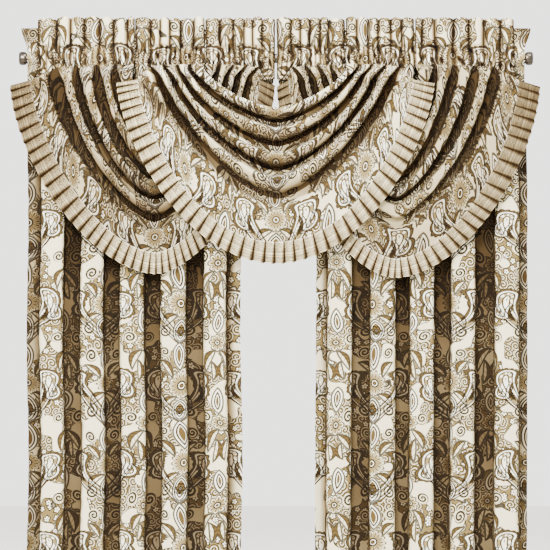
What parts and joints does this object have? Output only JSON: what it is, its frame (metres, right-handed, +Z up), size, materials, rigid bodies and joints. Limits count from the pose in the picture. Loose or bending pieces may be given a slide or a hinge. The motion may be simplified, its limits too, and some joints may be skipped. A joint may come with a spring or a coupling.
{
  "type": "swag drape and curtain panels on a rod",
  "caption": "Three overlapping draped swags with pleated trim over two long gathered panels, all hung on one rod with end caps.",
  "frame": {"origin": "on the rod's axis, midway between its two ends", "axes": "+X along the rod to the viewer's right, +Y from the front towards the wall, +Z up"},
  "size_m": [1.901, 0.1377, 2.1699],
  "materials": {
    "body_cloth": "woven jacquard, soft sheen",
    "trim_cloth": "striped weave, pleated",
    "rod_metal": "polished"
  },
  "bodies": {
    "root": {"rod": "rod_metal", "cap_left": "rod_metal", "cap_right": "rod_metal", "panel_left": "body_cloth", "panel_right": "body_cloth", "swag_left": "body_cloth", "swag_centre": "body_cloth", "swag_right": "body_cloth", "trim_left": "trim_cloth", "trim_centre": "trim_cloth", "trim_right": "trim_cloth"}
  },
  "joints": []
}
